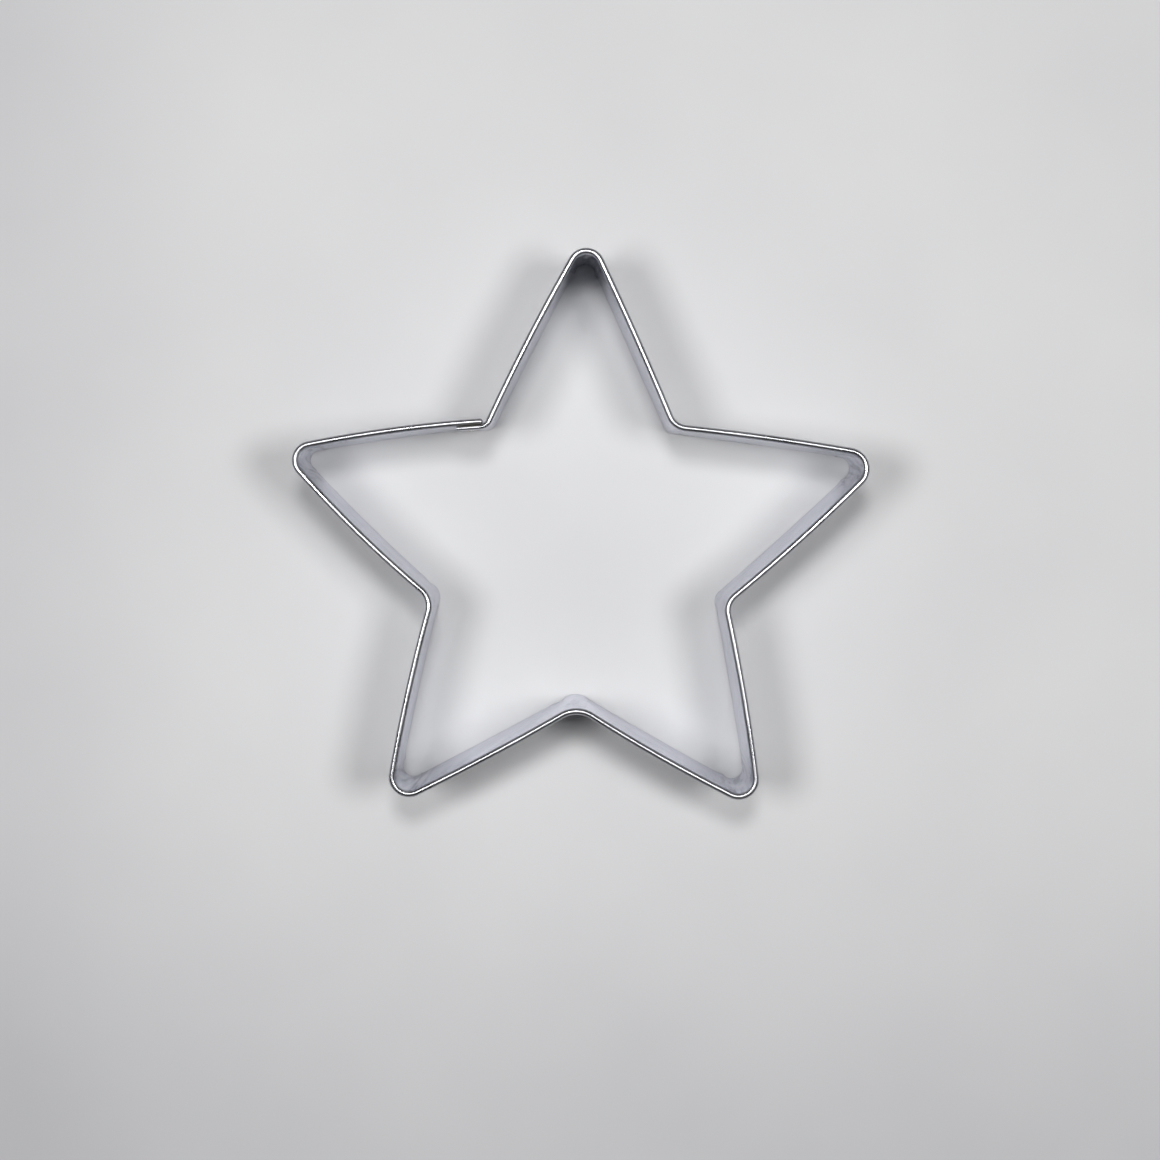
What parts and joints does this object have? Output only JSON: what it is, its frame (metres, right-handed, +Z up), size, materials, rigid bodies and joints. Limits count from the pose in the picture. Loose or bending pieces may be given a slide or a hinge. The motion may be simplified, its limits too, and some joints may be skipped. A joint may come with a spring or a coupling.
{
  "type": "cookie cutter",
  "caption": "Star-shaped cookie cutter of thin sheet steel with a rolled rim, a plain cutting edge and a spot-welded lap seam.",
  "frame": {"origin": "middle of the star's overall box, on the surface that the cutting edge stands on", "axes": "+Z up from the cutting edge to the rim, +Y towards the top point of the star, +X across the star from the left point to the right point"},
  "size_m": [0.089, 0.0852, 0.022],
  "materials": {
    "strip_steel": "rolled bright sheet, satin",
    "weld_steel": "spot-weld mark, dull"
  },
  "bodies": {
    "root": {"cutter_strip": "strip_steel", "spot_weld_lower": "weld_steel", "spot_weld_upper": "weld_steel"}
  },
  "joints": []
}
